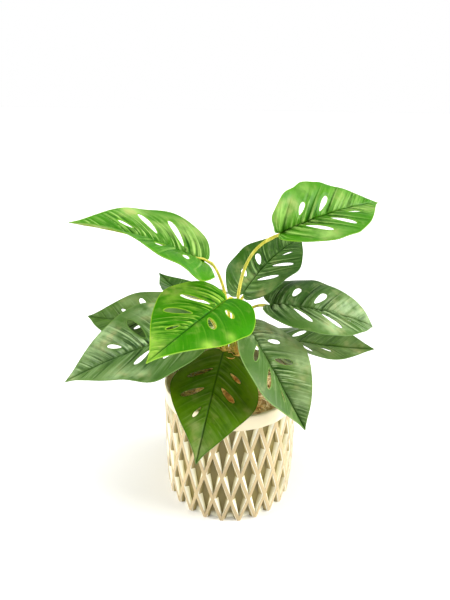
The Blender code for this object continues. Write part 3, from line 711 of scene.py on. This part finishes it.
def flat_blade():
    """Points, triangles and distance to the nearest cut edge of the flat sheet."""
    outline = blade_outline(OUTLINE_STEPS)
    windows = [window_outline(*window, WINDOW_POINTS) for window in WINDOWS]
    loops = [outline] + windows
    plain = [[tuple(point) for point in loop] for loop in loops]
    points, edges = [], []
    for loop in loops:
        first = len(points)
        points += loop
        edges += [(first + index, first + (index + 1) % len(loop)) for index in range(len(loop))]
    start = outline.index(min(outline, key=lambda point: point.length))
    tip = outline.index(max(outline, key=lambda point: point.x))
    midrib = [start]
    for index in range(1, int(MIDRIB_END / SHEET_STEP)):
        midrib.append(len(points))
        points.append(Vector((index * SHEET_STEP, 0)))
    midrib.append(tip)
    edges += list(zip(midrib, midrib[1:]))
    rows = int(SHEET_REACH / SHEET_STEP)
    for row in range(-rows, rows + 1):
        for column in range(-LOBE_COLUMNS, int(1 / SHEET_STEP) + 1):
            x, y = (column + 0.5 * (row % 2)) * SHEET_STEP, row * SHEET_STEP * ROW_SHARE
            if row == 0 or not inside_loop(x, y, plain[0]):
                continue
            if min(distance_to_loop(x, y, loop) for loop in plain) < 0.5 * SHEET_STEP:
                continue
            if any(inside_loop(x, y, loop) for loop in plain[1:]):
                continue
            points.append(Vector((x, y)))
    result = delaunay_2d_cdt(points, edges, [], 0, 1e-6)
    flat, triangles = result[0], []
    for face in result[2]:
        x, y = (flat[face[0]] + flat[face[1]] + flat[face[2]]) / 3
        if inside_loop(x, y, plain[0]) and not any(inside_loop(x, y, loop) for loop in plain[1:]):
            triangles.append(tuple(face))
    margin = [min(distance_to_loop(point.x, point.y, loop) for loop in plain) for point in flat]
    return flat, triangles, margin


def vein_line(along, across):
    """Which vein a point lies on: 0 leaves the base, 1 the next up the midrib, negative in the lobes."""
    reach = abs(across)
    line = (along - VEIN_SLANT * reach - VEIN_BOW * reach ** 2) / (1 + VEIN_SPREAD * reach)
    if line < 0:
        turn = math.atan2(reach, along) - math.atan2(1, VEIN_SLANT + VEIN_BOW * reach)
        line = 0.5 * line - 0.16 * max(0, turn)
    line = (line - VEIN_START) / VEIN_PITCH
    return line + 0.08 * math.sin(3.1 * line + (2.2 if across < 0 else 0.6))


def relief_strength(line, along, across, margin, turn):
    """How strongly pleat and small ridges stand out: full near the midrib, gone in the margin."""
    number = math.floor(line)
    half = 1.7 if across < 0 else 0
    reach = abs(across) / HALF_WIDTH
    near = min(1, reach / 0.06) * min(1, margin / 0.03) * min(1, 1.6 - 1.3 * along)
    end = 0.86 + 0.10 * math.sin(1.3 * number + 2 * half + turn)
    pleat = (0.85 + 0.25 * math.sin(2.4 * number + half + turn)) * max(0, 1 - (reach / end) ** 3)
    end = 0.62 + 0.20 * math.sin(5.1 * line + half + turn)
    ridge = (0.75 + 0.35 * math.sin(3.3 * line + turn)) * max(0, 1 - (reach / end) ** 2)
    return max(0, pleat * near), max(0, ridge * near)


def pleat_height(line, pleat, ridge):
    """A steep rise out of each vein's valley, a rounded crest and a long slope, with small ridges on it."""
    share = line - math.floor(line)
    rise = (share / CREST_SHARE) ** (2 * CREST_SHARE)
    crest = rise * ((1 - share) / (1 - CREST_SHARE)) ** (2 * (1 - CREST_SHARE))
    ridges = math.sin(math.tau * RIDGES_PER_PLEAT * line)
    return PLEAT_HEIGHT * pleat * (crest - 0.5) + RIDGE_HEIGHT * ridge * ridges


def channel_depth(along, across):
    """The groove along the midrib, which runs out before the tip."""
    fading = min(1, max(0, (1 - along) / CHANNEL_END))
    return CHANNEL_DEPTH * math.exp(-(across / CHANNEL_WIDTH) ** 2) * fading


def turn_pair(one, two, angle):
    """Turn two crossed directions, the first towards the second."""
    cosine, sine = math.cos(angle), math.sin(angle)
    return one * cosine + two * sine, two * cosine - one * sine


def midrib_frames(leaf):
    heading, rise, roll = (math.radians(value) for value in (leaf.heading, leaf.rise, leaf.roll))
    forward = Vector((math.cos(rise) * math.cos(heading), math.cos(rise) * math.sin(heading),
                      math.sin(rise)))
    side = Vector((-math.sin(heading), math.cos(heading), 0))
    up = forward.cross(side)
    side, up = turn_pair(side, up, roll)
    place = Vector(leaf.base) * MM
    step = leaf.length * MM / MIDRIB_STEPS
    droop, sway, twist = (math.radians(value) / MIDRIB_STEPS
                          for value in (leaf.droop, leaf.sway, leaf.twist))
    frames = [(place, forward, side, up)]
    for _ in range(MIDRIB_STEPS):
        place = place + turn_pair(forward, up, -droop / 2)[0] * step
        forward, up = turn_pair(forward, up, -droop)
        forward, side = turn_pair(forward, side, sway)
        side, up = turn_pair(side, up, twist)
        frames.append((place, forward, side, up))
    return frames


def midrib_place(leaf, frames, along):
    position = min(1, max(0, along)) * MIDRIB_STEPS
    index = min(MIDRIB_STEPS - 1, int(position))
    share = position - index
    return [one * (1 - share) + two * share for one, two in zip(frames[index], frames[index + 1])]


def bend(leaf, frames, along, across, height):
    """Where a point of the flat sheet lies on the bent leaf, raised by its pleat."""
    length = leaf.length * MM
    inside = min(1, max(0, along))
    place, forward, side, up = midrib_place(leaf, frames, along)
    if along < 0:
        curl_under = math.radians(leaf.lobes) / LOBE_DEPTH
        place = place + (forward * math.sin(curl_under * along)
                         - up * (1 - math.cos(curl_under * along))) * length / curl_under
    half = 0 if across >= 0 else 1
    fold = math.radians(leaf.fold[half] + leaf.opening[half] * (inside - FOLD_PLACE))
    curl = math.radians(leaf.arch[half] or LEAST_ARCH) / HALF_WIDTH
    reach = abs(across) * leaf.width[half]
    slope = fold - curl * reach
    outwards = (math.sin(fold) - math.sin(slope)) / curl
    upwards = (math.cos(slope) - math.cos(fold)) / curl
    size, count, phase = leaf.wave
    ripple = size * MM * (abs(across) / HALF_WIDTH) ** 2
    ripple *= math.sin(math.tau * count * along + math.radians(phase + WAVE_SHIFT * half))
    outer = side * math.copysign(1, across)
    raised = (up * math.cos(slope) - outer * math.sin(slope)) * height
    return place + (outer * outwards + raised) * length + up * (upwards * length + ripple)


def scalloped(dress, along, across):
    """The distance across, with the margin swung in and out."""
    half = int(across < 0)
    size, count, phase = dress.scallop
    turn = math.tau * count * along + math.radians(phase + SCALLOP_SHIFT * half)
    swing = size * (RIGHT_SCALLOP if half else 1) * math.sin(turn)
    return across * (1 + swing * (across / HALF_WIDTH) ** 2)


def patch_strength(dress, along, across):
    """How far a point lies in the leaf's patches of painted sheen, and how far in its patches of painted
    shade.
    """
    powers = [power * math.exp(-math.hypot(along - u, across - v) ** 2 / spread ** 2)
              for u, v, spread, power in dress.gloss]
    pale = sum(power for power in powers if power > 0)
    shaded = -sum(power for power in powers if power < 0)
    return min(1, pale), min(1, shaded)


def make_blade(leaf, sheet, materials):
    """The flat sheet, pleated, bent to the leaf's pose, painted by place and given its thickness."""
    flat, triangles, margin = sheet
    frames = midrib_frames(leaf)
    dress = DRESS[leaf.name]
    used = sorted({index for triangle in triangles for index in triangle})
    new_index = {old: new for new, old in enumerate(used)}
    places, veins = [], []
    # The last two traits carry the leaf's painted sheen and painted shade to its material
    traits = {"margin": [], "pleats": [], "ridges": [], "gloss": [], "shade": []}
    for old in used:
        along, across = flat[old]
        half = int(across < 0)
        line = vein_line(along, across)
        pleat, ridge = relief_strength(line, along, across, margin[old], leaf.slot)
        pleat, ridge = pleat * dress.pleats[half], ridge * dress.ridges[half]
        values = (margin[old], pleat, ridge, *patch_strength(dress, along, across))
        for trait, value in zip(traits.values(), values):
            trait.append(value)
        veins.append((line, across / HALF_WIDTH))
        height = pleat_height(line, pleat, ridge) - channel_depth(along, across)
        places.append(bend(leaf, frames, along, scalloped(dress, along, across), height))
    mesh = bpy.data.meshes.new("blade_" + leaf.name)
    mesh.from_pydata(places, [], [[new_index[old] for old in triangle] for triangle in triangles])
    vein_map = mesh.uv_layers.new(name="veins")
    for loop in mesh.loops:
        vein_map.data[loop.index].uv = veins[loop.vertex_index]
    for name, values in traits.items():
        mesh.attributes.new(name, "FLOAT", "POINT").data.foreach_set("value", values)
    for material in materials:
        mesh.materials.append(material)
    blade = link_mesh("blade_" + leaf.name, mesh)
    apply_modifier(blade, "thickness", "SOLIDIFY", thickness=BLADE_THICKNESS, offset=0,
                   material_offset=1, material_offset_rim=2)
    for vertex in mesh.vertices:
        vertex.co = [min(max(place, low), high) for place, low, high
                     in zip(vertex.co, solid_low, solid_high)]
    smooth_by_angle(blade, 50)
    settle(blade, "root", SLOT_OF[leaf.finish], "leaf_" + leaf.name)


# Stalks

def stalk_bow(leaf, frames):
    """Upright out of the fibre and over in one bow, thicker at the knee where the blade begins."""
    place, forward, _, up = frames[0]
    length = leaf.length * MM
    angle = math.radians(leaf.slot)
    foot = Vector((leaf.ring * math.cos(angle), leaf.ring * math.sin(angle), 0))
    free = foot + Vector((0, 0, STALK_FREE))
    neck = place - forward * NECK_SETBACK * length + up * leaf.side * STALK_CLEARANCE
    span = (neck - free).length
    lift, lead = leaf.reach
    handles = (free, free + Vector((0, 0, lift * span)), neck - forward * lead * span, neck)
    bow = [(foot + Vector((0, 0, STALK_FOOT)), STALK_RADIUS)]
    for index in range(BOW_STEPS + 1):
        t = index / BOW_STEPS
        weights = ((1 - t) ** 3, 3 * t * (1 - t) ** 2, 3 * t ** 2 * (1 - t), t ** 3)
        point = sum((handle * weight for handle, weight in zip(handles, weights)), Vector())
        swelling = 1 + KNEE_SWELLING * math.exp(-((t - KNEE_PLACE) / KNEE_LENGTH) ** 2)
        bow.append((point, (STALK_RADIUS + (NECK_RADIUS - STALK_RADIUS) * t) * swelling))
    return bow


def stalk_rib(leaf, frames):
    """Along the midrib, thinner and thinner. From above it dips through the blade near the base."""
    length = leaf.length * MM
    rib = []
    for along in RIB_PLACES:
        place, _, _, up = midrib_place(leaf, frames, along)
        radius = NECK_RADIUS * max(0.25, 1 - 1.25 * along ** 0.5)
        lift = RIB_CLEARANCE + channel_depth(along, 0) * length + radius * 0.6
        if along < RIB_BASE:
            lift += BASE_LIFT
        if leaf.side > 0:
            lift -= RIB_DIVE * min(1, along / DIVE_LENGTH)
        rib.append((place + up * leaf.side * lift, radius))
    return rib


def make_stalk(leaf, material):
    """The bow and the rib as one round stalk."""
    frames = midrib_frames(leaf)
    route = stalk_bow(leaf, frames) + stalk_rib(leaf, frames)
    bpy.ops.curve.primitive_bezier_curve_add()
    stalk = bpy.context.object
    stalk.name = "stalk_" + leaf.name
    stalk.location = (0, 0, 0)
    data = stalk.data
    data.splines.clear()
    spline = data.splines.new("POLY")
    spline.points.add(len(route) - 1)
    for point, (place, radius) in zip(spline.points, route):
        point.co = (*place, 1)
        point.radius = radius / STALK_RADIUS
    data.bevel_depth = STALK_RADIUS
    data.bevel_resolution = 4
    data.use_fill_caps = True
    make_active(stalk)
    bpy.ops.object.convert(target="MESH")
    stalk = bpy.context.object
    edit_all()
    bpy.ops.mesh.remove_doubles(threshold=MERGE_DISTANCE)
    bpy.ops.mesh.normals_make_consistent(inside=False)
    end_edit()
    stalk.data.materials.clear()
    stalk.data.materials.append(material)
    smooth_by_angle(stalk, 60)
    settle(stalk, "root", "stalk_yellow", "stem_" + leaf.name)


# Fibre

def mound_height(angle, share):
    """Height of the mound at a share of its radius, with low lumps between crown and edge."""
    edge = MOUND_EDGE + MOUND_TILT * math.cos(angle - MOUND_HIGH_SIDE)
    wave = math.sin(3 * angle + 5 * share) + math.sin(7 * angle - 9 * share + 1.3)
    wave += 0.7 * math.cos(11 * angle + 4 * share)
    lump = 1.6 * MM * wave * share * (1 - share) * 2
    return edge + (MOUND_CROWN - edge) * (1 - share) ** MOUND_STEEPNESS + lump


def mound_point(radius, angle):
    share = radius / MOUND_RADIUS
    return Vector((radius * math.sin(angle), -radius * math.cos(angle), mound_height(angle, share)))


def make_mound(material):
    """A disc inset ring by ring, raised to the mound's height, with its rim drawn down."""
    bpy.ops.mesh.primitive_circle_add(vertices=MOUND_SEGMENTS, radius=MOUND_RADIUS, fill_type="NGON")
    mound = bpy.context.object
    mound.name = "fibre_mound"
    edit_all()
    for _ in range(MOUND_RINGS - 1):
        bpy.ops.mesh.inset(thickness=MOUND_RADIUS / MOUND_RINGS)
    bpy.ops.mesh.poke()
    end_edit()
    for vertex in mound.data.vertices:
        angle = math.atan2(vertex.co.x, -vertex.co.y)
        share = min(1, vertex.co.xy.length / MOUND_RADIUS)
        vertex.co.z = mound_height(angle, share)
    edit_all()
    bpy.ops.mesh.region_to_loop()
    bpy.ops.mesh.extrude_edges_move()
    end_edit()
    for vertex in mound.data.vertices:
        if vertex.select:
            vertex.co.z = MOUND_FOOT
    bpy.ops.object.mode_set(mode="EDIT")
    bpy.ops.mesh.edge_face_add()
    bpy.ops.mesh.select_all(action="SELECT")
    bpy.ops.mesh.normals_make_consistent(inside=False)
    end_edit()
    mound.data.materials.append(material)
    smooth_by_angle(mound, 45)
    settle(mound, "root", "curled_fibre", "fibre")


def curl_shape(turns, size, width):
    """Points of one flat curled shaving round the origin, as a strip of quads with a thickness."""
    verts, faces = [], []
    thick = 0.16 * width
    for index in range(CURL_STEPS + 1):
        t = index / CURL_STEPS
        angle = turns * math.tau * t
        radius = size * (1 - 0.45 * t)
        place = Vector((radius * math.cos(angle), radius * math.sin(angle), width * (3.5 * t - 1.5)))
        out = Vector((math.cos(angle), math.sin(angle), 0))
        half = 0.5 * width * math.sin(math.pi * min(0.94, max(0.12, 1.02 * t + 0.1))) ** 0.5
        for across, deep in ((-half, -thick), (half, -thick), (half, thick), (-half, thick)):
            verts.append(place + Vector((0, 0, across)) + out * deep)
    for index in range(CURL_STEPS):
        first = 4 * index
        for corner in range(4):
            after = (corner + 1) % 4
            faces.append((first + corner, first + after, first + 4 + after, first + 4 + corner))
    faces += [(3, 2, 1, 0), tuple(4 * CURL_STEPS + corner for corner in range(4))]
    return verts, faces


def curl_places(draw):
    """Places strewn over the mound, thickest round the stalks, and places in the heaps."""
    places = []
    for _ in range(CURLS):
        radius = MOUND_RADIUS * (0.06 + 0.90 * draw.random() ** 0.72)
        place = mound_point(radius, draw.uniform(0, math.tau))
        places.append(place + Vector((0, 0, draw.uniform(0, 1.5) * MM)))
    for centre, spread, count in CURL_HEAPS:
        for _ in range(count):
            places.append(Vector([c + draw.gauss(0, 0.5) * s for c, s in zip(centre, spread)]) * MM)
    return places


def make_curls(material):
    """Curled shavings on the mound, copied from a few shapes and kept inside the pot."""
    draw = random.Random(7)
    shapes = [curl_shape(turns, size * MM, width * MM) for turns, size, width in CURL_SHAPES]
    verts, faces = [], []
    for place in curl_places(draw):
        shape_verts, shape_faces = shapes[draw.randrange(len(shapes))]
        turn = (Matrix.Rotation(draw.uniform(0, math.tau), 3, "Z")
                @ Matrix.Rotation(draw.gauss(0, 0.75), 3, "X")
                @ Matrix.Rotation(draw.uniform(0, math.tau), 3, "Z"))
        size = draw.uniform(0.75, 1.25)
        limit = MOUND_RADIUS / max(MOUND_RADIUS, place.xy.length + CURL_MARGIN)
        seat = Vector((place.x * limit, place.y * limit, place.z))
        first = len(verts)
        verts += [seat + turn @ vert * size for vert in shape_verts]
        faces += [tuple(first + index for index in face) for face in shape_faces]
    mesh = bpy.data.meshes.new("fibre_curls")
    mesh.from_pydata(verts, [], faces)
    mesh.materials.append(material)
    for vertex in mesh.vertices:
        span = vertex.co.xy.length
        if span > CURL_LIMIT:
            vertex.co.x *= CURL_LIMIT / span
            vertex.co.y *= CURL_LIMIT / span
    curls = link_mesh("fibre_curls", mesh)
    make_active(curls)
    edit_all()
    bpy.ops.mesh.normals_make_consistent(inside=False)
    end_edit()
    smooth_by_angle(curls, 40)
    settle(curls, "root", "curled_fibre")


# Pot

def make_pot(material):
    """The lattice pot with every arris rounded by the glaze."""
    pot = link_mesh("glazed_pot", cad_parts["pot"].data.copy())
    make_active(pot)
    edit_all()
    bpy.ops.mesh.remove_doubles(threshold=MERGE_DISTANCE)
    bpy.ops.mesh.dissolve_limited(angle_limit=math.radians(1.5))
    bpy.ops.mesh.normals_make_consistent(inside=False)
    end_edit()
    pot.data.materials.clear()
    pot.data.materials.append(material)
    apply_modifier(pot, "soft_arris", "BEVEL", width=ARRIS_WIDTH, segments=ARRIS_SEGMENTS,
                   limit_method="ANGLE", angle_limit=math.radians(14), use_clamp_overlap=True)
    smooth_by_angle(pot, 35)
    settle(pot, "root", "pot_glaze", "pot")


def dress_plug(material):
    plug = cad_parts["plug"]
    plug.data.materials.clear()
    plug.data.materials.append(material)


# Studio

def make_camera():
    """The photograph's own viewpoint, found from the pot's rim, sides and foot."""
    pan, pitch, roll = (math.radians(value) for value in (PAN, PITCH, ROLL))
    level = Vector((math.sin(pan), math.cos(pan), 0))
    forward = level * math.cos(pitch) - Vector((0, 0, math.sin(pitch)))
    right = Vector((math.cos(pan), -math.sin(pan), 0))
    up = right.cross(forward)
    right, up = turn_pair(right, up, roll)
    data = bpy.data.cameras.new("camera")
    data.sensor_fit = "VERTICAL"
    data.sensor_height = SENSOR_HEIGHT
    data.lens = SENSOR_HEIGHT * FOCAL_PIXELS / PICTURE_HEIGHT
    data.clip_start = 0.01
    camera = bpy.data.objects.new("camera", data)
    bpy.context.collection.objects.link(camera)
    turned = Matrix((right, up, -forward)).transposed()
    camera.matrix_world = Matrix.Translation(CAMERA_PLACE) @ turned.to_4x4()
    bpy.context.scene.camera = camera


def soft_light(name, towards, strength, angle, colour):
    """A wide far light that comes from one side, as from a big soft panel."""
    data = bpy.data.lights.new(name, "SUN")
    data.energy = strength
    data.angle = math.radians(angle)
    data.color = colour
    light = bpy.data.objects.new(name, data)
    bpy.context.collection.objects.link(light)
    light.location = Vector(towards)
    light.rotation_euler = Vector(towards).to_track_quat("Z", "Y").to_euler()


def make_floor(material):
    bpy.ops.mesh.primitive_plane_add(size=FLOOR_SIZE, location=(0, 0, 0))
    floor = bpy.context.object
    floor.name = "floor"
    floor.data.materials.append(material)


def make_room():
    """A white room: pure white where it is seen, dimmer where it lights the plant."""
    world = bpy.data.worlds.new("white_room")
    world.use_nodes = True
    nodes, links = world.node_tree.nodes, world.node_tree.links
    room = nodes["Background"]
    room.inputs["Color"].default_value = WHITE
    room.inputs["Strength"].default_value = ROOM_LIGHT
    backdrop = nodes.new("ShaderNodeBackground")
    backdrop.inputs["Color"].default_value = WHITE
    backdrop.inputs["Strength"].default_value = 1
    path = nodes.new("ShaderNodeLightPath")
    mix = nodes.new("ShaderNodeMixShader")
    links.new(path.outputs["Is Camera Ray"], mix.inputs[0])
    links.new(room.outputs[0], mix.inputs[1])
    links.new(backdrop.outputs[0], mix.inputs[2])
    links.new(mix.outputs[0], nodes["World Output"].inputs["Surface"])
    bpy.context.scene.world = world
    bpy.context.scene.view_settings.view_transform = "Standard"


def make_lights():
    soft_light("right_light", (0.96, -0.08, 0.27), 5.0, 40, (1, 0.985, 0.95))
    soft_light("left_light", (-0.96, -0.05, 0.25), 4.4, 40, (1, 0.99, 0.97))
    soft_light("top_light", (0.15, 0.15, 1), 1.25, 45, (1, 1, 0.98))


def main():
    make_camera()
    make_floor(floor_paper())
    make_room()
    make_lights()
    make_pot(pot_glaze())
    dress_plug(plug_foam())
    make_mound(mound_fibre())
    make_curls(curl_fibre())
    sheet = flat_blade()
    finishes = {name: (blade_top(name, finish), blade_underside(name, finish), blade_edge(name, finish))
                for name, finish in FINISHES.items()}
    skin = stalk_skin()
    for leaf in LEAVES:
        make_blade(leaf, sheet, finishes[leaf.finish])
        make_stalk(leaf, skin)


main()
